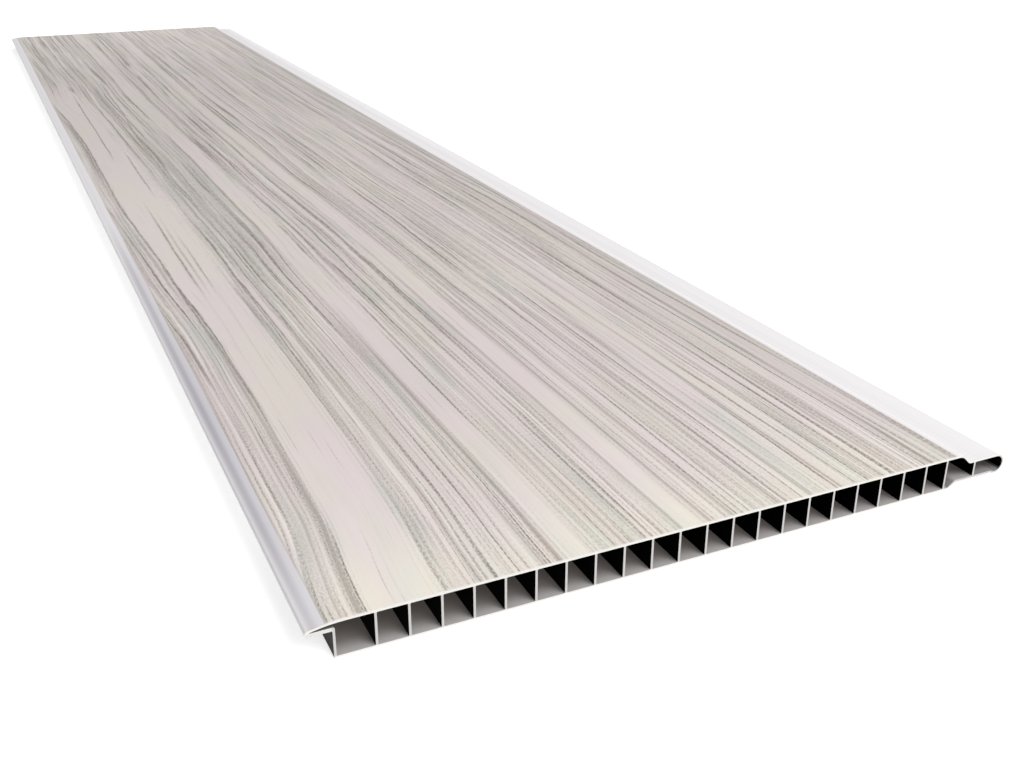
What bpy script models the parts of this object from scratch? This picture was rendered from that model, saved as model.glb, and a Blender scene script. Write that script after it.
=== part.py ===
"""Hollow ceiling panel: one extruded plank with a groove on its left edge and a tongue on its right.

All sizes are in metres and +Z is up. The panel lies on its back with the printed face up and its
length along Y. The section is drawn from the groove edge (x = 0) and the back (z = 0), and the
finished panel is centred over the origin.
"""
import math

import bmesh
import bpy
from mathutils import Vector
from mathutils.geometry import delaunay_2d_cdt

# Size of the panel
LENGTH = 1.0
COVER_WIDTH = 0.200           # ceiling width that one fitted panel covers
THICKNESS = 0.010

# Walls of the section
SKIN = 0.00056                # face, back and tongue
WEB = 0.00060                 # upright ribs between the cells
LIP = 0.00098                 # flange that reaches over the next panel's tongue

# Cells
REGULAR_CELLS = 20
FIRST_CELL = 0.00977          # from the groove wall to the first rib
NARROW_CELL = 0.00752         # the one beside the shoulder, rib to rib
SHOULDER_SETBACK = 0.01629    # from the last rib to the edge of the covered width
CELL_FILLET = 0.00025
FOOT_FILLET = 0.00030         # outer corner where the groove wall meets the back

# Groove edge
GROOVE_DEPTH = 0.0063         # the lip overhangs the groove wall by this much
LIP_BELOW_FACE = 0.00258      # from the face down to the lip's underside
LIP_SHOULDER = 0.00050        # round of the lip's inner corner over the groove wall
BEVEL_WIDTH = 0.0095          # the face starts to fall this far from the edge
BEVEL_RADIUS = 0.040
NOSE_CAVITY_TIP = 0.00014     # height of the thin end of the first cell

# Step from the face down to the tongue
BROW_FROM_RIB = 0.00629       # from the last rib to the top of the step
STEP_SLOPE = math.radians(45.0)
BROW_ROUND = 0.0042
VALLEY_ROUND = 0.0012

# Tongue
TONGUE_SLIP = 0.00015         # play between the tongue's top and the lip above it
TONGUE_LIFT = 0.00185         # the tongue's underside clears the batten by this much
CHAMFER_FROM_RIB = 0.0020     # from the last rib to the foot of the chamfer beside it
CHAMFER_RUN = 0.0024
CHAMFER_ROUND = 0.0010
RIB_FROM_STEP = 0.00165       # from the foot of the step to the rib inside the tongue
BEAD_DROP = 0.00049           # the bead hangs below the tongue's underside by this much
NECK_ROUND = 0.0006           # hollow between the tongue's underside and the bead
TIP_CLEARANCE = 0.00035       # between the bead and the next panel's groove wall

# How finely the rounds are divided
ARC_TURN = math.radians(18.0)
ARC_CHORD = 0.0006
FILL_TOLERANCE = 1e-9

# Heights and stations that follow from the sizes above
lip_underside = THICKNESS - LIP_BELOW_FACE
lip_top = lip_underside + LIP
tongue_top = lip_underside - TONGUE_SLIP
groove_wall = GROOVE_DEPTH
first_rib = groove_wall + FIRST_CELL
last_rib = COVER_WIDTH - SHOULDER_SETBACK
narrow_cell_rib = last_rib - NARROW_CELL
cell_pitch = (narrow_cell_rib - first_rib) / REGULAR_CELLS
brow = (last_rib + BROW_FROM_RIB, THICKNESS)
valley = (brow[0] + (THICKNESS - tongue_top) / math.tan(STEP_SLOPE), tongue_top)
chamfer_foot = (last_rib + CHAMFER_FROM_RIB, 0.0)
chamfer_head = (chamfer_foot[0] + CHAMFER_RUN, TONGUE_LIFT)
tongue_rib = valley[0] + RIB_FROM_STEP
panel_width = COVER_WIDTH + GROOVE_DEPTH - TIP_CLEARANCE
bead_radius = (tongue_top - TONGUE_LIFT + BEAD_DROP) / 2
bead_centre = (panel_width - bead_radius, tongue_top - bead_radius)
bevel_centre = (BEVEL_WIDTH, THICKNESS - BEVEL_RADIUS)


def clear_scene():
    for item in list(bpy.data.objects):
        bpy.data.objects.remove(item, do_unlink=True)


def arc(centre, radius, start, end):
    """Points along an arc; the angles are in radians, anticlockwise when end is the larger."""
    turn = abs(end - start)
    steps = max(2, math.ceil(turn / ARC_TURN), math.ceil(turn * radius / ARC_CHORD))
    angles = [start + (end - start) * i / steps for i in range(steps + 1)]
    return [(centre[0] + radius * math.cos(a), centre[1] + radius * math.sin(a)) for a in angles]


def fillet(before, corner, after, radius):
    """Points of the round that replaces a corner between two straight walls."""
    corner = Vector(corner)
    back = (Vector(before) - corner).normalized()
    ahead = (Vector(after) - corner).normalized()
    half = back.angle(ahead) / 2.0
    middle = corner + (back + ahead).normalized() * (radius / math.sin(half))
    leave = corner + back * (radius / math.tan(half)) - middle
    meet = corner + ahead * (radius / math.tan(half)) - middle
    turn = leave.angle_signed(meet)
    start = math.atan2(leave.y, leave.x)
    return arc(middle, radius, start, start - turn)


def level(z):
    """A line along x at this height, as a point and a direction."""
    return (0.0, z), (1.0, 0.0)


def upright(x):
    """A line straight up at this station."""
    return (x, 0.0), (0.0, 1.0)


def through(start, end):
    return start, (end[0] - start[0], end[1] - start[1])


def moved_left(line, distance):
    """The line shifted sideways, to the left of its own direction."""
    (x, z), (dx, dz) = line
    length = math.hypot(dx, dz)
    return (x - dz / length * distance, z + dx / length * distance), (dx, dz)


def crossing(line_a, line_b):
    (ax, az), (adx, adz) = line_a
    (bx, bz), (bdx, bdz) = line_b
    along = ((bx - ax) * bdz - (bz - az) * bdx) / (adx * bdz - adz * bdx)
    return ax + adx * along, az + adz * along


def rounded(corners):
    """Closed outline from (point, radius) corners; a radius of 0 keeps the point as it is."""
    outline = []
    for i, (point, radius) in enumerate(corners):
        if radius == 0.0:
            outline.append(point)
        else:
            before = corners[i - 1][0]
            after = corners[(i + 1) % len(corners)][0]
            outline.extend(fillet(before, point, after, radius))
    return outline


def kept(points):
    """The points as corners that need no rounding."""
    return [(point, 0.0) for point in points]


def nose_radius():
    """Radius of the round that runs from the bevel's arc into the underside of the lip."""
    rise = lip_underside - THICKNESS + BEVEL_RADIUS
    half = rise + BEVEL_RADIUS - BEVEL_WIDTH
    return math.sqrt(half ** 2 - BEVEL_WIDTH ** 2 - rise ** 2 + BEVEL_RADIUS ** 2) - half


def bead_wall(depth):
    """Tongue wall from its underside, round the neck and the bead, to its top.

    The points lie this deep inside the wall: 0 is the outside and SKIN the cell.
    """
    rise = bead_centre[1] - TONGUE_LIFT + NECK_ROUND
    reach = math.sqrt((bead_radius + NECK_ROUND) ** 2 - rise ** 2)
    neck_centre = (bead_centre[0] - reach, TONGUE_LIFT - NECK_ROUND)
    meeting = math.atan2(rise, reach)
    neck = arc(neck_centre, NECK_ROUND + depth, math.pi / 2, meeting)
    below = arc(bead_centre, bead_radius - depth, meeting - math.pi, 0.0)
    above = arc(bead_centre, bead_radius - depth, 0.0, math.pi / 2)
    return neck + below[1:] + above[1:]


def panel_outline():
    """Outside of the section, anticlockwise from the foot of the groove wall."""
    nose = nose_radius()
    nose_centre = (nose, lip_underside + nose)
    nose_start = math.atan2(nose_centre[1] - bevel_centre[1], nose_centre[0] - bevel_centre[0])
    bevel = arc(bevel_centre, BEVEL_RADIUS, math.pi / 2, nose_start)
    nose_top = arc(nose_centre, nose, nose_start, math.pi)
    nose_bottom = arc(nose_centre, nose, math.pi, 3 * math.pi / 2)

    corners = [((groove_wall, 0.0), FOOT_FILLET)]
    corners += [(chamfer_foot, CHAMFER_ROUND), (chamfer_head, CHAMFER_ROUND)]
    corners += kept(bead_wall(0.0))
    corners += [(valley, VALLEY_ROUND), (brow, BROW_ROUND)]
    corners += kept(bevel + nose_top[1:] + nose_bottom[1:])
    corners += [((groove_wall, lip_underside), CELL_FILLET)]
    return rounded(corners)


def first_cell():
    """Cell over the groove wall, running out into the thin cavity above the lip."""
    wall = groove_wall + WEB
    inner_radius = BEVEL_RADIUS - SKIN
    tip_height = lip_top + NOSE_CAVITY_TIP - bevel_centre[1]
    tip_angle = math.pi - math.asin(tip_height / inner_radius)
    roof = arc(bevel_centre, inner_radius, math.pi / 2, tip_angle)
    corners = [((wall, SKIN), CELL_FILLET), ((first_rib, SKIN), CELL_FILLET)]
    corners += [((first_rib, THICKNESS - SKIN), CELL_FILLET)]
    corners += kept(roof)
    corners += [((roof[-1][0], lip_top), 0.0), ((wall, lip_top), LIP_SHOULDER)]
    return rounded(corners)


def square_cell(rib, next_rib):
    """Cell between two ribs, given by the stations of their left faces."""
    left = rib + WEB
    roof = THICKNESS - SKIN
    corners = [(left, SKIN), (next_rib, SKIN), (next_rib, roof), (left, roof)]
    return rounded([(corner, CELL_FILLET) for corner in corners])


def shoulder_cell():
    """Cell under the step, between the last rib and the rib of the tongue."""
    left = upright(last_rib + WEB)
    back = level(SKIN)
    chamfer = moved_left(through(chamfer_foot, chamfer_head), SKIN)
    floor = level(TONGUE_LIFT + SKIN)
    right = upright(tongue_rib)
    ledge = level(tongue_top - SKIN)
    slope = moved_left(through(valley, brow), SKIN)
    roof = level(THICKNESS - SKIN)
    return rounded([
        (crossing(left, back), CELL_FILLET),
        (crossing(back, chamfer), CHAMFER_ROUND - SKIN),
        (crossing(chamfer, floor), CHAMFER_ROUND + SKIN),
        (crossing(floor, right), CELL_FILLET),
        (crossing(right, ledge), CELL_FILLET),
        (crossing(ledge, slope), VALLEY_ROUND + SKIN),
        (crossing(slope, roof), BROW_ROUND - SKIN),
        (crossing(roof, left), CELL_FILLET),
    ])


def bead_cell():
    """Cell inside the tongue, ending in the round of the bead."""
    left = tongue_rib + WEB
    corners = [((left, TONGUE_LIFT + SKIN), CELL_FILLET)]
    corners += kept(bead_wall(SKIN))
    corners += [((left, tongue_top - SKIN), CELL_FILLET)]
    return rounded(corners)


def panel_loops():
    ribs = [first_rib + i * cell_pitch for i in range(REGULAR_CELLS)] + [narrow_cell_rib, last_rib]
    loops = [panel_outline(), first_cell()]
    loops += [square_cell(rib, next_rib) for rib, next_rib in zip(ribs, ribs[1:])]
    loops += [shoulder_cell(), bead_cell()]
    return loops


def filled(loops):
    """Points, loop edges and triangles of the material between the outline and the cells."""
    points = []
    rings = []
    for loop in loops:
        first = len(points)
        points += [Vector(point) for point in loop]
        rings.append(list(range(first, len(points))))
    edges = [(ring[i - 1], ring[i]) for ring in rings for i in range(len(ring))]
    inside_only = 1
    result = delaunay_2d_cdt(points, [], rings, inside_only, FILL_TOLERANCE)
    triangles = [face for face, owners in zip(result[2], result[5]) if owners == [0]]
    return points, edges, triangles


def extruded_panel(loops):
    points, edges, triangles = filled(loops)
    mesh = bmesh.new()
    ends = []
    for y in (-LENGTH / 2, LENGTH / 2):
        ends.append([mesh.verts.new((p.x - panel_width / 2, y, p.y)) for p in points])
    for end in ends:
        for triangle in triangles:
            mesh.faces.new([end[i] for i in triangle])
    near, far = ends
    for i, j in edges:
        mesh.faces.new([near[i], near[j], far[j], far[i]])
    bmesh.ops.recalc_face_normals(mesh, faces=mesh.faces)
    return mesh


def pvc_material():
    material = bpy.data.materials.new("printed_pvc")
    material.use_nodes = True
    shader = material.node_tree.nodes["Principled BSDF"]
    shader.inputs["Base Color"].default_value = (0.69, 0.65, 0.62, 1.0)
    shader.inputs["Roughness"].default_value = 0.25
    shader.inputs["Metallic"].default_value = 0.0
    return material


def build_panel():
    mesh = extruded_panel(panel_loops())
    data = bpy.data.meshes.new("ceiling_panel")
    mesh.to_mesh(data)
    mesh.free()
    data.shade_smooth()
    data.set_sharp_from_angle(angle=math.radians(25.0))
    data.materials.append(pvc_material())
    panel = bpy.data.objects.new("ceiling_panel", data)
    bpy.context.scene.collection.objects.link(panel)
    return panel


clear_scene()
build_panel()
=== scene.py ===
import math

import bpy
from mathutils import Matrix, Vector

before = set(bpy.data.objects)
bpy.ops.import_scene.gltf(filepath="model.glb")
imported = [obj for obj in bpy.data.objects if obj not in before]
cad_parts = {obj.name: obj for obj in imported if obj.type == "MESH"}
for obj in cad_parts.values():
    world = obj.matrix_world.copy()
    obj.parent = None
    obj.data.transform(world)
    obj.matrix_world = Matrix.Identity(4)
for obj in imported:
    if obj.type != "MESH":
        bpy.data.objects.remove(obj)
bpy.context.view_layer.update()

MM = 0.001
PER_METRE = 1000.0

# The camera, solved from the photograph: its rows are right, down and forward
CAMERA_AT = (-0.148631, -0.705397, 0.162307)
RIGHT = (0.9065988, -0.4219936, 0.0)
DOWN = (-0.1752520, -0.3764198, -0.9097224)
FORWARD = (0.3838819, 0.8247603, -0.4152170)
LENS = 40.488
SENSOR_WIDTH = 36.0
CLIP_START, CLIP_END = 0.01, 60.0

# The studio, in metres. A lamp is its name, kind, place, aim, energy, and angle or side.
LAMPS = [
    ("key", "SUN", (0.85, -1.0, 1.3), (0.0, 0.0, 0.0), 1.38, math.radians(50.0)),
    ("near_fill", "AREA", (0.25, -1.25, 0.95), (0.0, -0.35, 0.0), 6.0, 0.7),
]
FLOOR_REACH = 12.0
FLOOR_LEVEL = -0.00005
FLOOR_GREY = (0.82, 0.82, 0.82, 1.0)
FLOOR_GLOW = 0.65
SKY_WHITE = (1.0, 1.0, 1.0, 1.0)
SKY_LIGHT = 0.40
SKY_SEEN = 1.0

# The section, in millimetres from the groove edge and above the back
HALF_WIDTH = 102.975
HALF_LENGTH = 500.0
LENGTH = 2.0 * HALF_LENGTH
THICKNESS = 10.0
PRINT_LEFT = 4.7
PRINT_RIGHT = 187.8
SKIN = 0.56
GROOVE_WALL = 6.3
LIP_UNDERSIDE = 7.42
BEVEL_WIDTH = 9.5
BEVEL_RADIUS = 40.0
BROW = 190.0
VALLEY = 192.73
VALLEY_HEIGHT = 7.27
MIDDLE_HEIGHT = 4.3
BEAD_END = 204.4

# Surface: roughness of the plastic and of the film, gloss, a painted glow from the cells' floors,
# relief
BODY_ROUGHNESS = 0.40
FILM_ROUGHNESS = 0.46
LINE_ROUGHNESS = 0.12
GLOSS = 0.28
GLOSS_LOST_TO_PAINTED_SHADE = -0.27
PAINTED_GLOW_STRENGTH = 1.0
REFRACTION = 1.5
RELIEF_STRENGTH = 0.4
RELIEF_DEPTH = 0.05 * MM

# Colours as a picture shows them, 0 to 255
COLOURS = {
    "black": (0, 0, 0),
    "film_pink": (232, 220, 219),
    "film_cream": (231, 222, 214),
    "film_sage": (212, 211, 205),
    "film_knot": (212, 212, 205),
    "film_near": (243, 235, 221),
    "film_near_sage": (237, 235, 222),
    "film_olive": (214, 210, 199),
    "film_pale": (247, 241, 236),
    "film_border": (190, 185, 181),
    "line": (148, 136, 131),
    "line_sage": (141, 135, 126),
    "body": (239, 235, 237),
    "body_die_line": (242, 239, 241),
    # Painted light: the outer ledge is paler, more so towards the far end
    "outer_ledge_painted_light": (255, 253, 255),
    # Painted shade: the bevel's grey and the darker band along the nose
    "bevel": (201, 197, 204),
    "bevel_shade_band": (162, 158, 168),
    # The sawn ends' colours, with painted shade in the darker lip and ribs
    "sawn_skin": (240, 238, 232),
    "sawn_lip_shade": (229, 227, 225),
    "sawn_middle_shade": (207, 204, 202),
    # Painted shade in the cells: floors darkening with depth, darker still in the tongue and the cavity
    # over the lip, walls painted near black
    "cell_floor_shade_at_cut": (186, 182, 181),
    "cell_floor_shade": (138, 133, 131),
    "cell_floor_shade_dim": (90, 88, 88),
    "cell_wall_painted_shade": (4, 3, 3),
    # A painted glow from the cells' floors
    "cell_painted_glow": (58, 54, 51),
    # Painted shade on the groove's wall, darkest at the cuts
    "groove_shade_at_cut": (52, 48, 48),
    "groove_shade_away_from_ends": (214, 210, 212),
}

# The wood print, in millimetres across the face from the groove edge and along it from the near end
PRINT_SPAN = 200.0
# How dense the fine grain is, as (station, density)
GRAIN_DENSITY = [
    (0, 0.95), (14, 1.0), (16.5, 0.06), (31, 0.05), (33.5, 0.95), (45, 1.0), (51, 0.6), (60, 0.9),
    (64.5, 0.15), (71, 0.10), (74, 0.95), (86, 0.9), (94, 0.7), (97.5, 0.12), (103, 0.05),
    (105, 0.9), (118, 0.6), (128, 0.85), (140, 0.6), (150, 0.5), (158, 0.8), (170, 0.95), (186, 0.9),
]
# The leading dark streaks of each half of the face, as (station, half width, depth)
LEFT_STREAKS = [
    (8.6, 0.6, 0.55), (12.9, 1.5, 0.80), (36.2, 0.6, 0.50), (42.2, 1.5, 0.55), (48.8, 0.6, 0.50),
    (58.5, 1.1, 0.60), (62.8, 1.1, 0.95), (77.8, 0.7, 0.75), (80.6, 0.7, 0.70), (96.6, 0.8, 0.80),
]
RIGHT_STREAKS = [
    (105.3, 1.0, 0.75), (112.2, 0.9, 0.80), (121.7, 0.5, 0.45), (126.7, 0.9, 0.75),
    (137.0, 0.9, 0.75), (147.0, 0.9, 0.75), (157.0, 0.7, 0.50), (166.8, 1.2, 0.60),
    (171.0, 0.6, 0.55), (178.6, 1.4, 1.00),
]
# How far the grain has moved towards the groove edge, as (place along, shift), left and right
LEFT_DRIFT = [
    (0, 0), (50, -3.5), (110, -4), (170, -4), (260, -2), (350, 0), (420, 2), (540, 4.5), (670, 8.5),
    (1000, 15),
]
RIGHT_DRIFT = [(0, 0), (270, 0.5), (400, 3.5), (650, 6), (900, 8)]
# A further move of the strip beside the bevel
LEFT_BEND = [
    (0, 0), (150, 0), (245, 2.2), (370, 3.2), (495, 0.3), (560, 1.5), (640, 3.8), (800, 0), (1000, 0),
]
# Edges of the plain band where it is widest, as (place along, station)
BAND_LEFT = [(0, 20), (200, 19), (250, 16.5), (370, 13), (500, 12.8), (620, 8.5), (1000, 7)]
BAND_RIGHT = [(0, 36), (250, 36.5), (370, 33.5), (500, 32.5), (620, 31), (1000, 24)]
# A ramp holds a shift or station as its distance above this floor, in spans
DRIFT_FLOOR = -5.0
DRIFT_SPAN = 26.0
# The bunch of strokes in the plain band, as (station, half width, depth), and where it lies
BUNCH_STROKES = [(22.5, 0.9, 0.85), (24.9, 0.9, 0.45), (27.6, 0.75, 0.68)]
BUNCH_START = 20.0
BUNCH_SPAN = 10.0
# How much nearer the bunch ends for each millimetre to the right
BUNCH_STAGGER = 10.0
# Strokes that stand alone: their course as (place along, station) points or one station, the place
# of each end, half width and depth
EDGE_LINE = [(0, 20), (120, 18), (245, 14.8), (370, 11.2), (495, 11.4), (565, 9.2), (640, 6)]
KNOT_LINE = [(0, 45), (345, 44.5), (400, 41.4), (495, 41.5), (620, 44.3), (1000, 46)]
LONE_STROKES = [
    (EDGE_LINE, 90, 660, 0.85, 0.80), (KNOT_LINE, 315, 740, 0.85, 0.72),
    (21.2, 450, 690, 0.6, 0.75), (29.2, 365, 500, 0.65, 0.65),
]
# How far a lone stroke takes to rise and to fall, and the part of its half width that is full
STROKE_RISE = 40.0
STROKE_FALL = 60.0
STROKE_CORE = 0.3
# How much of the grain's unsteadiness the strokes follow
STROKE_WANDER = 0.8
# Spacing of the repeated lines, and how many spacings their course wanders
LINES = {
    "thread": (1.7, 2.2), "coarse": (2.9, 2.4), "growth": (5.2, 2.4), "wave": (4.1, 1.6),
    "far_wave": (6.1, 1.6),
}
# The part of a growth line's half width that is full
GROWTH_CORE = 0.3
# Shares of the kinds of line in the fine grain, and how much of it the plain band loses
THREAD_SHARE = 0.60
HAIR_SHARE = 0.42
BAND_LOSS = -0.85
# How the film turns to the greener colour beside the band and to the border's grey in its strip
KNOT_TINT = 0.45
STRIP_TINT = 0.25
# Painted shade on the film: its brightness along the panel, as (share of the length, level)
FILM_SHADE = [
    (0, 1.0), (0.03, 1.0), (0.07, 0.942), (0.1, 0.908), (0.3, 0.882), (0.6, 0.80), (0.75, 0.808),
    (0.9, 0.90), (1.0, 0.97),
]
# How strong the bevel's painted shade is along the panel, as (share of the length, level), and how that
# is used
BEVEL_SHADE = [(0, 0.41), (0.055, 0.78), (0.12, 1.0), (0.23, 0.7), (0.35, 0.07), (1.0, 0.07)]
BEVEL_SCALE, BEVEL_LEAST = 0.76, 0.12
BEVEL_SHADE_BAND_SCALE = 0.70

# Noises drawn out along the panel: cycles for each millimetre across and along, seed and detail
NOISES = {
    "sway": (0.016, 0.0040, 3.1, 1.0),
    "waver": (0.09, 0.010, 7.7, 1.0),
    "tremble": (0.45, 0.05, 8.8, 2.0),
    "density": (0.07, 0.0040, 1.0, 2.0),
    "thread_course": (0.18, 0.0030, 17.0, 1.0),
    "thread_life": (0.85, 0.012, 18.0, 2.0),
    "coarse_course": (0.16, 0.0022, 27.0, 1.0),
    "coarse_life": (0.40, 0.008, 28.0, 2.0),
    "growth_course": (0.07, 0.0016, 14.0, 1.0),
    "growth_width": (0.16, 0.006, 15.0, 1.0),
    "growth_life": (0.22, 0.007, 16.0, 2.0),
    "wave_course": (0.05, 0.0016, 44.0, 1.0),
    "far_wave_course": (0.04, 0.0014, 45.0, 1.0),
    "wave_life": (0.20, 0.0055, 46.0, 2.0),
    "bands": (0.24, 0.0050, 12.0, 2.0),
    "hairs": (1.1, 0.016, 9.0, 1.0),
    "near_pores": (2.4, 0.85, 2.0, 1.0),
    "far_pores": (1.1, 0.24, 4.0, 1.0),
    "cluster": (0.30, 0.0080, 33.0, 2.0),
    "streak_life": (0.18, 0.007, 20.0, 2.0),
    "tint": (0.055, 0.012, 30.0, 2.0),
    "sage": (0.14, 0.014, 40.0, 2.0),
    "pale": (0.80, 0.014, 5.0, 2.0),
    "film_edge": (0.3, 0.02, 50.0, 1.0),
    "die_lines": (1.4, 0.003, 60.0, 2.0),
}
NOISE_MIDDLE = 0.5
PORE_ROUGHNESS = 0.65
# Where the pores break up the fine grain, and the strength that it keeps there: far change, near value
PORE_RANGE = (0.36, 0.60)
PORE_GAP = (0.28, 0.54)
PORE_FULL = (-0.08, 1.18)

# Smooth changes: (from, to) for 0 to 1, or (from, to, value before, value after)
RAMPS = {
    # Across the face, in millimetres from the groove edge
    "right_drift": (8.0, 85.0),
    "sway_size": (50.0, 130.0, 5.0, 3.0),
    "bend_strip": (13.0, 24.0, 1.0, 0.0),
    "knot_left": (34.0, 41.0),
    "knot_right": (54.0, 64.0, 1.0, 0.0),
    "dense_left": (30.0, 65.0, 0.95, 0.0),
    "waves_right": (30.0, 80.0, 0.6, 1.0),
    "calm_right": (90.0, 150.0, 0.0, 0.28),
    "calm_middle": (55.0, 75.0),
    "calm_left": (40.0, 80.0, 1.0, 0.0),
    "calm_bevel": (5.5, 11.0, 0.55, 0.0),
    "olive_left": (25.0, 65.0, 0.35, 0.0),
    "strip_left": (179.0, 180.5),
    "strip_right": (186.4, 186.8, 1.0, 0.0),
    "border_left": (5.0, 5.5, 0.6, 0.0),
    "border_right": (186.8, 187.2, 0.0, 0.15),
    "dim_left": (80.0, 150.0, 0.025, 0.0),
    "outer_ledge_painted_light": (196.0, 201.0),
    "bevel": (4.0, 6.0, 1.0, 0.0),
    "nose": (0.3, 1.2, 0.3, 1.0),
    "bevel_shade_band_left": (0.7, 2.0),
    "bevel_shade_band_right": (2.2, 3.7, 1.0, 0.0),
    "past_nose": (0.85, 0.95),
    "over_lip": (7.2, 7.3, 1.0, 0.0),
    "past_groove_wall": (GROOVE_WALL - 0.2, GROOVE_WALL),
    "sawn_lip_shade": (GROOVE_WALL, GROOVE_WALL + 0.4, 1.0, 0.0),
    "in_groove": (GROOVE_WALL + 0.2, GROOVE_WALL + 0.3, 1.0, 0.0),
    "at_groove_wall": (GROOVE_WALL - 0.3, GROOVE_WALL - 0.1),
    "tongue": (VALLEY + 1.5, VALLEY + 2.5),
    "bead_end": (BEAD_END, BEAD_END + 0.2),
    # Along it, in millimetres from the near end
    "sway_grows": (40.0, 300.0, 0.1, 1.0),
    "waver_grows": (60.0, 260.0, 0.8, 1.5),
    "tremble_grows": (60.0, 260.0, 0.5, 1.2),
    "band_starts": (190.0, 240.0),
    "band_ends": (560.0, 680.0, 1.0, 0.0),
    "bunch_starts": (205.0, 260.0),
    "bunch_ends": (525.0, 605.0, 1.0, 0.0),
    "knot_starts": (170.0, 290.0),
    "knot_ends": (420.0, 560.0, 1.0, 0.0),
    "dense_far": (640.0, 760.0),
    "threads_fade": (60.0, 240.0, 1.0, 0.35),
    "coarse_grows": (40.0, 240.0, 0.3, 1.0),
    "growth_widens": (150.0, 600.0, 1.0, 1.5),
    "growth_fades": (520.0, 740.0, 1.0, 0.94),
    "waves_change": (260.0, 420.0),
    "far": (80.0, 280.0),
    "bands_share": (80.0, 400.0, 0.18, 0.22),
    "waves_share": (100.0, 300.0, 0.60, 0.42),
    "calm_right_far": (300.0, 520.0),
    "calm_middle_far": (700.0, 850.0, 0.0, 0.16),
    "calm_left_far": (160.0, 700.0, 0.0, 0.07),
    "calm_bevel_far": (120.0, 460.0),
    "cream_near": (0.0, 34.0, 0.8, 0.0),
    "olive_far": (640.0, 800.0),
    "border_fades": (150.0, 450.0, 1.0, 0.2),
    "dim_far": (300.0, 500.0),
    "film_narrows": (120.0, 450.0, 0.0, 1.2),
    "ledge_light_grows": (150.0, 750.0, 0.2, 1.0),
    # From the nearer of the two cuts, in millimetres
    "film_at_cut": (0.15, 0.7, 0.25, 1.0),
    "floor_shade_deepens": (0.0, 6.0),
    "floor_painted_glow": (0.5, 7.0),
    "groove_shade_lifts": (20.0, 70.0),
    # Past an edge of the plain band, in millimetres
    "band_left": (-0.6, 0.6),
    "band_right": (-0.8, 0.8),
    # Above the back, in millimetres
    "top_face": (THICKNESS - 0.75, THICKNESS - 0.65),
    "on_ledge": (VALLEY_HEIGHT - 1.0, VALLEY_HEIGHT - 0.2),
    "above_back": (0.5, 0.7),
    "above_lip": (LIP_UNDERSIDE + 0.2, LIP_UNDERSIDE + 0.3),
    "below_lip": (LIP_UNDERSIDE + 0.4, LIP_UNDERSIDE + 0.5, 1.0, 0.0),
    # Under the face, in millimetres
    "bevel_skin": (0.25, 0.4, 1.0, 0.0),
    "below_face": (0.5, 0.7),
    "below_skin": (SKIN, SKIN + 0.3),
    "skin_underside": (SKIN - 0.16, SKIN - 0.1),
    # Of the surface's direction
    "faces_up": (0.6, 0.8),
    "sawn": (0.3, 0.7),
    "faces_in": (-0.15, -0.05),
    "faces_right": (0.0, 0.1),
    "faces_left": (-0.8, -0.3, 1.0, 0.0),
    # Of a noise
    "density": (0.30, 0.56, 0.45, 1.1),
    "thread_life": (0.38, 0.60, 0.1, 1.0),
    "coarse_life": (0.38, 0.60, 0.0, 1.0),
    "growth_width": (0.35, 0.65, 0.03, 0.15),
    "growth_life": (0.38, 0.56),
    "wave_life": (0.36, 0.58, 0.2, 1.0),
    "bands": (0.42, 0.62),
    "hairs": (0.66, 0.74),
    "cluster": (0.35, 0.55, 0.0, 0.30),
    "streak_life": (0.30, 0.48, 0.35, 1.0),
    "streak_pores": (*PORE_RANGE, 0.86, 1.06),
    "stroke_pores": (*PORE_RANGE, 0.70, 1.10),
    "specks": (0.46, 0.70, 0.0, 0.10),
    "cream": (0.42, 0.64),
    "cream_patches": (0.3, 0.5, 0.5, 1.0),
    "sage": (0.54, 0.72, 0.0, 0.8),
    "sage_near": (0.38, 0.60),
    "sage_lines": (0.42, 0.60),
    "pale": (0.50, 0.66, 0.0, 0.55),
    "die_lines": (0.35, 0.65),
    # Of the grain's density
    "growth_density": (0.05, 0.5, 0.15, 0.95),
    "sage_density": (0.0, 0.5, 0.3, 1.0),
    "speck_density": (0.0, 0.5, 0.1, 1.0),
    # From the middle of a line, in spacings
    "thread": (0.02, 0.34, 1.0, 0.0),
    "coarse": (0.04, 0.27, 1.0, 0.0),
    "wave": (0.02, 0.20, 1.0, 0.0),
    "far_wave": (0.02, 0.32, 1.0, 0.0),
}

# Where the film ends: the wave of its left edge, and how softly each edge fades
LEFT_EDGE_WAVE = 0.5
LEFT_EDGE_FADE = 0.25
RIGHT_EDGE_FADE = 0.2
# How steep a cell's floor may lie, in the cells and with what is added in the tongue, and level
FLOOR_TILT = 0.6
TONGUE_TILT = 0.08
FLOOR_LEVELLED = 0.9
# How much deeper the painted shade is on the floors of the tongue and of the cavity over the lip
TONGUE_SHADE = 0.35
LIP_SHADE = 0.8


def linear(level):
    """A picture's level, 0 to 255, as a scene value, by the curve of sRGB."""
    level = level / 255.0
    return level / 12.92 if level <= 0.04045 else ((level + 0.055) / 1.055) ** 2.4


def paint(name):
    """A colour of the table as scene values."""
    red, green, blue = COLOURS[name]
    return linear(red), linear(green), linear(blue), 1.0


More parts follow.
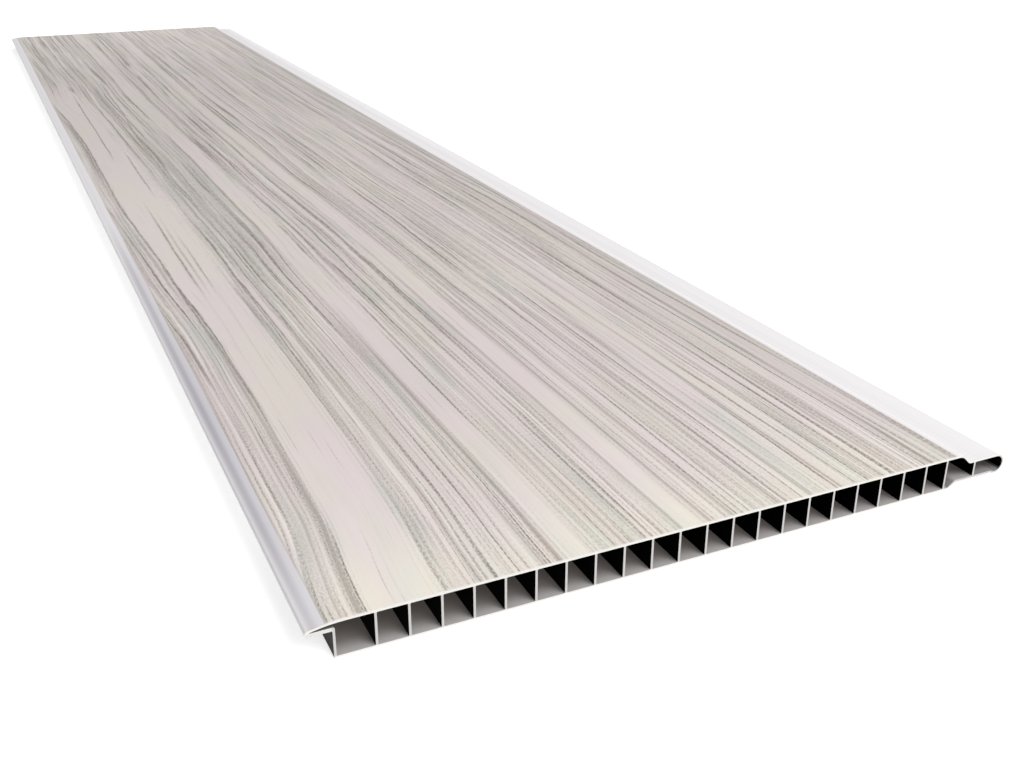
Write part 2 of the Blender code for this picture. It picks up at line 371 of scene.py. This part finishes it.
class Graph:
    """Shorthand for filling a node tree. A socket or a plain number can be given anywhere."""

    def __init__(self, tree):
        self.tree = tree
        tree.nodes.clear()

    def put(self, value, socket):
        if isinstance(value, bpy.types.NodeSocket):
            self.tree.links.new(value, socket)
        else:
            socket.default_value = value

    def node(self, kind, **settings):
        made = self.tree.nodes.new(kind)
        for name, value in settings.items():
            setattr(made, name, value)
        return made

    def math(self, operation, a, b=0.0, c=0.0):
        made = self.node("ShaderNodeMath", operation=operation)
        for value, socket in zip((a, b, c), made.inputs):
            self.put(value, socket)
        return made.outputs[0]

    def plus(self, a, b):
        return self.math("ADD", a, b)

    def minus(self, a, b):
        return self.math("SUBTRACT", a, b)

    def times(self, a, b):
        return self.math("MULTIPLY", a, b)

    def times_plus(self, a, b, c):
        return self.math("MULTIPLY_ADD", a, b, c)

    def over(self, a, b):
        return self.math("DIVIDE", a, b)

    def most(self, a, b):
        return self.math("MAXIMUM", a, b)

    def least(self, a, b):
        return self.math("MINIMUM", a, b)

    def ease(self, value, low, high, to_low=0.0, to_high=1.0):
        """Smooth step of the value from low to high."""
        made = self.node("ShaderNodeMapRange", interpolation_type="SMOOTHSTEP")
        for given, name in ((value, "Value"), (low, "From Min"), (high, "From Max"),
                            (to_low, "To Min"), (to_high, "To Max")):
            self.put(given, made.inputs[name])
        return made.outputs["Result"]

    def ramp(self, value, name):
        """The smooth change that RAMPS holds under this name."""
        return self.ease(value, *RAMPS[name])

    def noise(self, across, along, name, roughness=0.5):
        """The noise that NOISES holds under this name; its seed is the third coordinate."""
        across_scale, along_scale, seed, detail = NOISES[name]
        x, y = self.times(across, across_scale), self.times(along, along_scale)
        vector = self.node("ShaderNodeCombineXYZ")
        for value, socket in zip((x, y, seed), vector.inputs):
            self.put(value, socket)
        made = self.node("ShaderNodeTexNoise", noise_dimensions="3D")
        self.put(vector.outputs[0], made.inputs["Vector"])
        made.inputs["Scale"].default_value = 1.0
        made.inputs["Detail"].default_value = detail
        made.inputs["Roughness"].default_value = roughness
        return made.outputs["Fac"]

    def swing(self, across, along, name):
        """A noise that swings about zero."""
        return self.minus(self.noise(across, along, name), NOISE_MIDDLE)

    def from_line(self, field):
        """How far a place is from the middle of the nearest line, in spacings."""
        return self.math("PINGPONG", field, 0.5)

    def split(self, kind, output):
        """The three parts of a vector that a node of this kind gives."""
        parts = self.node("ShaderNodeSeparateXYZ")
        self.put(self.node(kind).outputs[output], parts.inputs[0])
        return parts.outputs["X"], parts.outputs["Y"], parts.outputs["Z"]

    def mix(self, factor, a, b, blend="MIX"):
        made = self.node("ShaderNodeMix", data_type="RGBA", blend_type=blend)
        self.put(factor, made.inputs["Factor"])
        self.put(a, made.inputs["A"])
        self.put(b, made.inputs["B"])
        return next(s for s in made.outputs if s.type == "RGBA")

    def profile(self, value, stops):
        """A curve over 0 to 1 through (position, height) stops, eased between them."""
        made = self.node("ShaderNodeValToRGB")
        ramp = made.color_ramp
        ramp.interpolation = "EASE"
        while len(ramp.elements) < len(stops):
            ramp.elements.new(0.5)
        for element, (position, height) in zip(ramp.elements, stops):
            element.position = position
            element.color = (height, height, height, 1.0)
        self.put(value, made.inputs["Fac"])
        return made.outputs["Color"]


def new_material(name):
    material = bpy.data.materials.new(name)
    material.use_nodes = True
    return material, Graph(material.node_tree)


# The print's material is near the most that Cycles holds in one shader. A node more, or the same
# nodes made in another order, can turn the panel black, so a change here needs a render to prove it.

def drift(g, along, stations):
    """A shift or station in millimetres that changes along the panel."""
    stops = [(at / LENGTH, (shift - DRIFT_FLOOR) / DRIFT_SPAN) for at, shift in stations]
    return g.times_plus(g.profile(along, stops), DRIFT_SPAN, DRIFT_FLOOR)


def streaks(g, across, listed, start=0.0, span=PRINT_SPAN):
    """Lines at the listed stations, deepest in their middle. Across is 0 at start, 1 a span on."""
    stops = []
    for station, half, depth in listed:
        for place, height in ((station - half, 0.0), (station, depth), (station + half, 0.0)):
            stops.append(((place - start) / span, height))
    return g.profile(across, stops)


def plain_band(g, x, y, along):
    """1 in the widest stretch of the plain band near the groove edge."""
    left, right = drift(g, along, BAND_LEFT), drift(g, along, BAND_RIGHT)
    inside = g.times(g.ramp(g.minus(x, left), "band_left"), g.ramp(g.minus(right, x), "band_right"))
    return g.times(inside, g.times(g.ramp(y, "band_starts"), g.ramp(y, "band_ends")))


def single_strokes(g, x, y, along):
    """The strokes in and beside the plain band, which fade at both ends."""
    across = g.times_plus(x, 1.0 / BUNCH_SPAN, -BUNCH_START / BUNCH_SPAN)
    darkest = streaks(g, across, BUNCH_STROKES, BUNCH_START, BUNCH_SPAN)
    staggered = g.times_plus(x, BUNCH_STAGGER, y)
    ends = g.times(g.ramp(y, "bunch_starts"), g.ramp(staggered, "bunch_ends"))
    darkest = g.times(darkest, ends)
    for centre, start, end, half, depth in LONE_STROKES:
        if isinstance(centre, list):
            centre = drift(g, along, centre)
        away = g.math("ABSOLUTE", g.minus(x, centre))
        ends = g.times(g.ease(y, start, start + STROKE_RISE),
                       g.ease(y, end - STROKE_FALL, end, depth, 0.0))
        stroke = g.times(ends, g.ease(away, STROKE_CORE * half, half, 1.0, 0.0))
        darkest = g.most(darkest, stroke)
    return darkest


def knot_side(g, x, y):
    """The darker, greener stretch of grain beside the plain band."""
    across = g.times(g.ramp(x, "knot_left"), g.ramp(x, "knot_right"))
    return g.times(across, g.times(g.ramp(y, "knot_starts"), g.ramp(y, "knot_ends")))


def follow_drift(g, x, y, along):
    """The print's own place across at x, and how unsteadily its lines run there."""
    left, right = drift(g, along, LEFT_DRIFT), drift(g, along, RIGHT_DRIFT)
    share = g.ramp(x, "right_drift")
    shift = g.times_plus(share, g.minus(right, left), left)
    sway = g.times(g.swing(x, y, "sway"), g.ramp(x, "sway_size"))
    sway = g.times(sway, g.ramp(y, "sway_grows"))
    waver = g.times(g.swing(x, y, "waver"), g.ramp(y, "waver_grows"))
    tremble = g.times(g.swing(x, y, "tremble"), g.ramp(y, "tremble_grows"))
    unsteady = g.plus(waver, tremble)
    bend = g.times(drift(g, along, LEFT_BEND), g.ramp(x, "bend_strip"))
    shift = g.plus(g.plus(shift, bend), g.plus(sway, unsteady))
    return g.plus(x, shift), unsteady


def grain_density(g, x, y, u, across):
    """How dense the fine grain is. At the far left it closes over the plain band."""
    stops = [(station / PRINT_SPAN, density) for station, density in GRAIN_DENSITY]
    density = g.profile(across, stops)
    density = g.times(density, g.ramp(g.noise(u, y, "density"), "density"))
    return g.most(density, g.times(g.ramp(x, "dense_left"), g.ramp(y, "dense_far")))


def line_field(g, u, y, name):
    """The place across, counted in wandering lines of one kind."""
    spacing, wander = LINES[name]
    field = g.times(u, 1.0 / spacing)
    return g.times_plus(g.noise(u, y, name + "_course"), wander, field)


def living_lines(g, u, y, name):
    """Parallel lines, each with its own life."""
    lines = g.ramp(g.from_line(line_field(g, u, y, name)), name)
    return g.times(lines, g.ramp(g.noise(u, y, name + "_life"), name + "_life"))


def thread_lines(g, u, y):
    """Threads: fine lines at the near end, coarser ones beyond it."""
    threads, coarse = living_lines(g, u, y, "thread"), living_lines(g, u, y, "coarse")
    threads = g.times(threads, g.ramp(y, "threads_fade"))
    return g.most(threads, g.times(coarse, g.ramp(y, "coarse_grows")))


def growth_lines(g, u, y):
    """Growth lines: wider ones, several millimetres apart, that close up and part as they run."""
    field = line_field(g, u, y, "growth")
    width = g.ramp(g.noise(u, y, "growth_width"), "growth_width")
    width = g.times(width, g.ramp(y, "growth_widens"))
    growth = g.ease(g.from_line(field), g.times(width, GROWTH_CORE), width, 1.0, 0.0)
    growth = g.times(growth, g.ramp(g.noise(u, y, "growth_life"), "growth_life"))
    return g.times(growth, g.ramp(y, "growth_fades"))


def even_lines(g, u, y, name):
    """Parallel lines that run on unbroken."""
    spacing, wander = LINES[name]
    field = g.times_plus(g.noise(u, y, name + "_course"), wander, g.times(u, 1.0 / spacing))
    return g.ramp(g.from_line(field), name)


def wave_lines(g, x, y, u):
    """Waves: evenly spaced lines, 4 mm apart at the near end and 6 mm apart beyond it."""
    waves, far_waves = even_lines(g, u, y, "wave"), even_lines(g, u, y, "far_wave")
    waves = g.times_plus(g.ramp(y, "waves_change"), g.minus(far_waves, waves), waves)
    waves = g.times(waves, g.ramp(g.noise(u, y, "wave_life"), "wave_life"))
    return g.times(waves, g.ramp(x, "waves_right"))


def fine_grain(g, x, y, u, density):
    """Darkness of all the fine lines, and the pores that break them up."""
    threads = thread_lines(g, u, y)
    growth = growth_lines(g, u, y)
    waves = wave_lines(g, x, y, u)
    bands = g.ramp(g.noise(u, y, "bands"), "bands")
    hairs = g.ramp(g.noise(u, y, "hairs"), "hairs")
    far = g.ramp(y, "far")
    pores = g.times(g.noise(u, y, "near_pores", PORE_ROUGHNESS), g.minus(1.0, far))
    pores = g.times_plus(g.noise(u, y, "far_pores", PORE_ROUGHNESS), far, pores)

    fine = g.times(bands, g.ramp(y, "bands_share"))
    fine = g.times_plus(waves, g.ramp(y, "waves_share"), fine)
    fine = g.times_plus(threads, THREAD_SHARE, fine)
    cluster = g.ramp(g.noise(u, y, "cluster"), "cluster")
    cluster = g.times(cluster, knot_side(g, x, y))
    fine = g.times(g.plus(fine, cluster), density)
    fine = g.most(fine, g.times(growth, g.ramp(density, "growth_density")))
    fine = g.most(fine, g.times(hairs, HAIR_SHARE))
    gap, full = g.times_plus(far, *PORE_GAP), g.times_plus(far, *PORE_FULL)
    return g.times(fine, g.ease(pores, *PORE_RANGE, gap, full)), pores


def leading_streaks(g, y, u, across, pores):
    """The dark streaks at their listed stations, each with its own life."""
    leading = g.most(streaks(g, across, LEFT_STREAKS), streaks(g, across, RIGHT_STREAKS))
    life = g.ramp(g.noise(u, y, "streak_life"), "streak_life")
    return g.times(leading, g.times(life, g.ramp(pores, "streak_pores")))


def calmness(g, x, y):
    """How much weaker the grain is in four parts of the face."""
    calm = g.times(g.ramp(x, "calm_right"), g.ramp(y, "calm_right_far"))
    for name in ("calm_middle", "calm_left", "calm_bevel"):
        calm = g.most(calm, g.times(g.ramp(x, name), g.ramp(y, name + "_far")))
    return calm


def grain_field(g, x, y):
    """Darkness of the grain, the print's own place across, the grain's density and its pores."""
    along = g.over(y, LENGTH)
    u, unsteady = follow_drift(g, x, y, along)
    across = g.over(u, PRINT_SPAN)
    density = grain_density(g, x, y, u, across)
    fine, pores = fine_grain(g, x, y, u, density)
    leading = leading_streaks(g, y, u, across, pores)
    calm = calmness(g, x, y)
    grain = g.times(g.most(fine, leading), g.minus(1.0, calm))
    grain = g.times(grain, g.times_plus(plain_band(g, x, y, along), BAND_LOSS, 1.0))
    strokes = single_strokes(g, g.times_plus(unsteady, STROKE_WANDER, x), y, along)
    strokes = g.times(strokes, g.ramp(pores, "stroke_pores"))
    grain = g.most(grain, strokes)
    return g.least(grain, 1.0), u, density, pores


def film_colour(g, x, y):
    """Colour of the film: pinkish greige that turns cream and sage in patches, and its grain."""
    grain, u, density, pores = grain_field(g, x, y)
    tint = g.noise(u, y, "tint")
    sage = g.noise(u, y, "sage")
    base = g.mix(g.ramp(tint, "cream"), paint("film_pink"), paint("film_cream"))
    sage_share = g.times(g.ramp(sage, "sage"), g.ramp(density, "sage_density"))
    base = g.mix(sage_share, base, paint("film_sage"))
    base = g.mix(g.times(knot_side(g, x, y), KNOT_TINT), base, paint("film_knot"))
    near = g.mix(g.ramp(sage, "sage_near"), paint("film_near"), paint("film_near_sage"))
    near_share = g.times(g.ramp(y, "cream_near"), g.ramp(tint, "cream_patches"))
    base = g.mix(near_share, base, near)
    olive = g.times(g.ramp(x, "olive_left"), g.ramp(y, "olive_far"))
    base = g.mix(olive, base, paint("film_olive"))
    pale = g.times(g.ramp(g.noise(u, y, "pale"), "pale"), density)
    base = g.mix(pale, base, paint("film_pale"))
    dark = g.mix(g.ramp(sage, "sage_lines"), paint("line"), paint("line_sage"))
    film = g.mix(grain, base, dark)
    specks = g.times(g.ramp(pores, "specks"), g.ramp(density, "speck_density"))
    film = g.mix(specks, film, dark)
    strip = g.times(g.ramp(x, "strip_left"), g.ramp(x, "strip_right"))
    border = g.times(g.ramp(x, "border_left"), g.ramp(y, "border_fades"))
    border = g.plus(border, g.ramp(x, "border_right"))
    film = g.mix(g.most(g.times(strip, STRIP_TINT), border), film, paint("film_border"))
    # Painted shade: the film darkens along the panel
    fade = g.profile(g.over(y, LENGTH), FILM_SHADE)
    film = g.mix(1.0, film, fade, "MULTIPLY")
    left = g.times(g.ramp(x, "dim_left"), g.ramp(y, "dim_far"))
    return g.mix(left, film, paint("black")), grain


def film_area(g, x, y, z, normal_z):
    """1 where the film lies: on the face, between its slightly wavy left edge and its right edge."""
    edge = g.noise(x, y, "film_edge")
    left = g.times_plus(edge, LEFT_EDGE_WAVE, PRINT_LEFT - LEFT_EDGE_WAVE / 2.0)
    right = g.minus(PRINT_RIGHT, g.ramp(y, "film_narrows"))
    printed = g.times(
        g.ease(x, g.minus(left, LEFT_EDGE_FADE), g.plus(left, LEFT_EDGE_FADE)),
        g.ease(x, g.minus(right, RIGHT_EDGE_FADE), g.plus(right, RIGHT_EDGE_FADE), 1.0, 0.0))
    printed = g.times(printed, g.ramp(z, "top_face"))
    return g.times(printed, g.ramp(normal_z, "faces_up"))


def white_body(g, x, y, z):
    """White, a touch lavender, with faint lines from the die, and painted light on the outer ledge that
    grows towards the far end.
    """
    body = g.mix(g.ramp(g.noise(x, y, "die_lines"), "die_lines"), paint("body"), paint("body_die_line"))
    ledge_light = g.times(g.ramp(x, "outer_ledge_painted_light"), g.ramp(z, "on_ledge"))
    ledge_light = g.times(ledge_light, g.ramp(y, "ledge_light_grows"))
    return g.mix(ledge_light, body, paint("outer_ledge_painted_light"))


def depth_under_face(g, x, z):
    """How far a place lies under the face, which falls away in the bevel."""
    fall = g.math("POWER", g.minus(BEVEL_WIDTH, g.least(x, BEVEL_WIDTH)), 2.0)
    return g.minus(g.minus(THICKNESS, g.times(fall, 0.5 / BEVEL_RADIUS)), z)


def shade_bevel(g, body, x, y, under_face):
    """The body with painted shade on the bevel, and a darker band of painted shade along the nose."""
    bevel = g.times(g.ramp(x, "bevel"), g.ramp(under_face, "bevel_skin"))
    grey = g.profile(g.over(y, LENGTH), BEVEL_SHADE)
    shaded = g.times(g.times_plus(grey, BEVEL_SCALE, BEVEL_LEAST), g.ramp(x, "nose"))
    body = g.mix(g.times(bevel, shaded), body, paint("bevel"))
    shade_band = g.times(g.ramp(x, "bevel_shade_band_left"), g.ramp(x, "bevel_shade_band_right"))
    shade_band = g.times(g.times(shade_band, bevel), g.times(grey, BEVEL_SHADE_BAND_SCALE))
    return g.mix(shade_band, body, paint("bevel_shade_band"))


def sawn_colour_with_shade(g, x, z, under_face):
    """Colour of a sawn end, with painted shade: the lip and the ribs between the skins are darker than
    the skins.
    """
    step = g.minus(g.least(g.most(x, BROW), VALLEY), BROW)
    middle = g.times(g.ramp(z, "above_back"), g.ramp(g.minus(under_face, step), "below_face"))
    middle = g.times(middle, g.ramp(x, "past_groove_wall"))
    lip = g.times(g.ramp(x, "sawn_lip_shade"), g.ramp(under_face, "below_skin"))
    skin = g.mix(lip, paint("sawn_skin"), paint("sawn_lip_shade"))
    return g.mix(middle, skin, paint("sawn_middle_shade"))


# Masks that carry the painted shade and painted glow of the cells and the groove
def cell_walls(g, x, z, normal_x, normal_z, under_face, sawn):
    """1 on walls that face into the section, in the cavity over the lip, and in the groove.

    Low walls of a cell face up or sideways and high ones down or sideways.
    """
    facing = g.times(g.math("SIGN", g.minus(MIDDLE_HEIGHT, z)), normal_z)
    inside = g.ramp(facing, "faces_in")
    over_lip = g.times(g.ramp(x, "over_lip"), g.ramp(z, "above_lip"))
    inside = g.most(inside, g.times(over_lip, g.ramp(under_face, "skin_underside")))
    inside = g.times(inside, g.ramp(x, "past_nose"))
    groove = g.times(g.ramp(x, "in_groove"), g.ramp(z, "below_lip"))
    inside = g.times(inside, g.minus(1.0, groove))
    bead_end = g.times(g.ramp(x, "bead_end"), g.ramp(normal_x, "faces_right"))
    inside = g.times(inside, g.minus(1.0, bead_end))
    inside = g.times(inside, g.minus(1.0, sawn))
    return inside, over_lip, groove


def printed_pvc():
    """White PVC with a wood-grain film on the face; painted shade in the cells, groove, bevel, sawn
    ends and along the film, a painted glow in the cells and painted light on the outer ledge.
    """
    material, g = new_material("printed_pvc")

    # Place on the panel in millimetres, x from the groove edge and y from the near end
    place_x, place_y, place_z = g.split("ShaderNodeTexCoord", "Object")
    x = g.times_plus(place_x, PER_METRE, HALF_WIDTH)
    y = g.times_plus(place_y, PER_METRE, HALF_LENGTH)
    z = g.times(place_z, PER_METRE)
    normal_x, normal_y, normal_z = g.split("ShaderNodeNewGeometry", "Normal")

    film, grain = film_colour(g, x, y)
    printed = film_area(g, x, y, z, normal_z)
    cut = g.least(y, g.minus(LENGTH, y))
    printed = g.times(printed, g.ramp(cut, "film_at_cut"))

    body = white_body(g, x, y, z)
    under_face = depth_under_face(g, x, z)
    body = shade_bevel(g, body, x, y, under_face)
    sawn = g.ramp(g.math("ABSOLUTE", normal_y), "sawn")
    body = g.mix(sawn, body, sawn_colour_with_shade(g, x, z, under_face))
    inside, over_lip, groove = cell_walls(g, x, z, normal_x, normal_z, under_face, sawn)

    # Painted shade: the cells' floors darken with depth and their other walls are painted near black
    tongue = g.ramp(x, "tongue")
    floor = g.ease(normal_z, g.times_plus(tongue, TONGUE_TILT, FLOOR_TILT), FLOOR_LEVELLED)
    floor = g.times(inside, floor)
    unlit = g.minus(inside, floor)
    floor_shade_colour = g.mix(g.ramp(cut, "floor_shade_deepens"), paint("cell_floor_shade_at_cut"), paint("cell_floor_shade"))
    body = g.mix(floor, body, floor_shade_colour)
    dimmer = g.most(g.times(tongue, TONGUE_SHADE), g.times(over_lip, LIP_SHADE))
    body = g.mix(g.times(floor, dimmer), body, paint("cell_floor_shade_dim"))
    body = g.mix(unlit, body, paint("cell_wall_painted_shade"))

    # Painted shade on the groove's wall, darkest near its ends
    shade = g.times(groove, g.ramp(normal_x, "faces_left"))
    shade = g.times(shade, g.ramp(x, "at_groove_wall"))
    painted_shade_colour = g.mix(g.ramp(cut, "groove_shade_lifts"), paint("groove_shade_at_cut"), paint("groove_shade_away_from_ends"))
    body = g.mix(g.times(shade, g.minus(1.0, sawn)), body, painted_shade_colour)
    # A painted glow: the cells' floors give off a little light, more of it deeper in
    glow = g.times(floor, g.ramp(cut, "floor_painted_glow"))

    colour = g.mix(printed, body, film)

    shader = g.node("ShaderNodeBsdfPrincipled")
    g.put(colour, shader.inputs["Base Color"])
    rough = g.node("ShaderNodeMix", data_type="FLOAT")
    g.put(printed, rough.inputs["Factor"])
    g.put(BODY_ROUGHNESS, rough.inputs["A"])
    g.put(g.times_plus(grain, LINE_ROUGHNESS, FILM_ROUGHNESS), rough.inputs["B"])
    g.put(rough.outputs["Result"], shader.inputs["Roughness"])
    # Gloss is taken away where shade is painted, so no reflection lightens it
    gloss = g.times_plus(g.most(inside, shade), GLOSS_LOST_TO_PAINTED_SHADE, GLOSS)
    g.put(gloss, shader.inputs["Specular IOR Level"])
    g.put(g.mix(glow, paint("black"), paint("cell_painted_glow")), shader.inputs["Emission Color"])
    shader.inputs["Emission Strength"].default_value = PAINTED_GLOW_STRENGTH
    shader.inputs["IOR"].default_value = REFRACTION

    # Fine relief: the grain is pressed a few hundredths of a millimetre into the film
    relief = g.times(g.times(grain, printed), -1.0)
    bump = g.node("ShaderNodeBump")
    bump.inputs["Strength"].default_value = RELIEF_STRENGTH
    bump.inputs["Distance"].default_value = RELIEF_DEPTH
    g.put(relief, bump.inputs["Height"])
    g.put(bump.outputs["Normal"], shader.inputs["Normal"])

    output = g.node("ShaderNodeOutputMaterial")
    g.put(shader.outputs[0], output.inputs["Surface"])
    return material


def seen_directly(g):
    """1 for what the camera sees itself, in gloss or through something clear."""
    path = g.node("ShaderNodeLightPath")
    seen = g.most(path.outputs["Is Camera Ray"], path.outputs["Is Glossy Ray"])
    return g.most(seen, path.outputs["Is Transmission Ray"])


def finish_studio(g, seen, lighting, shown, output_kind):
    """One shader where the surface only gives light and another where it is seen."""
    choose = g.node("ShaderNodeMixShader")
    g.put(seen, choose.inputs[0])
    g.put(lighting.outputs[0], choose.inputs[1])
    g.put(shown.outputs[0], choose.inputs[2])
    output = g.node(output_kind)
    g.put(choose.outputs[0], output.inputs["Surface"])


def floor_material():
    """Pale floor: white to the camera, with the panel's shadow kept."""
    material, g = new_material("studio_floor")
    seen = seen_directly(g)
    plain = g.node("ShaderNodeBsdfDiffuse")
    plain.inputs["Color"].default_value = FLOOR_GREY
    glow = g.node("ShaderNodeEmission")
    glow.inputs["Strength"].default_value = FLOOR_GLOW
    both = g.node("ShaderNodeAddShader")
    g.put(plain.outputs[0], both.inputs[0])
    g.put(glow.outputs[0], both.inputs[1])
    finish_studio(g, seen, plain, both, "ShaderNodeOutputMaterial")
    return material


def add_floor():
    data = bpy.data.meshes.new("studio_floor")
    corners = [(-FLOOR_REACH, -FLOOR_REACH, FLOOR_LEVEL), (FLOOR_REACH, -FLOOR_REACH, FLOOR_LEVEL),
               (FLOOR_REACH, FLOOR_REACH, FLOOR_LEVEL), (-FLOOR_REACH, FLOOR_REACH, FLOOR_LEVEL)]
    data.from_pydata(corners, [], [(0, 1, 2, 3)])
    data.materials.append(floor_material())
    floor = bpy.data.objects.new("studio_floor", data)
    bpy.context.scene.collection.objects.link(floor)


def background(g, strength):
    made = g.node("ShaderNodeBackground")
    made.inputs["Color"].default_value = SKY_WHITE
    made.inputs["Strength"].default_value = strength
    return made


def add_world():
    """Soft white light all round, and plain white where the camera looks past the floor."""
    world = bpy.data.worlds.new("studio")
    world.use_nodes = True
    g = Graph(world.node_tree)
    seen = seen_directly(g)
    soft, white = background(g, SKY_LIGHT), background(g, SKY_SEEN)
    finish_studio(g, seen, soft, white, "ShaderNodeOutputWorld")
    bpy.context.scene.world = world


def add_light(name, kind, place, aim, energy, size):
    data = bpy.data.lights.new(name, kind)
    data.energy = energy
    if kind == "SUN":
        data.angle = size
    else:
        data.shape = "SQUARE"
        data.size = size
    light = bpy.data.objects.new(name, data)
    light.location = place
    light.rotation_euler = (Vector(aim) - Vector(place)).to_track_quat("-Z", "Y").to_euler()
    bpy.context.scene.collection.objects.link(light)


def add_camera():
    data = bpy.data.cameras.new("camera")
    data.sensor_fit = "HORIZONTAL"
    data.sensor_width = SENSOR_WIDTH
    data.lens = LENS
    data.clip_start = CLIP_START
    data.clip_end = CLIP_END
    camera = bpy.data.objects.new("camera", data)
    turn = Matrix((RIGHT, [-v for v in DOWN], [-v for v in FORWARD])).transposed()
    camera.matrix_world = Matrix.Translation(CAMERA_AT) @ turn.to_4x4()
    bpy.context.scene.collection.objects.link(camera)
    bpy.context.scene.camera = camera


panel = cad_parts["ceiling_panel"]
skin_material = printed_pvc()
for slot in panel.material_slots:
    slot.material = skin_material

add_floor()
add_world()
for lamp in LAMPS:
    add_light(*lamp)
add_camera()
bpy.context.scene.view_settings.view_transform = "Standard"
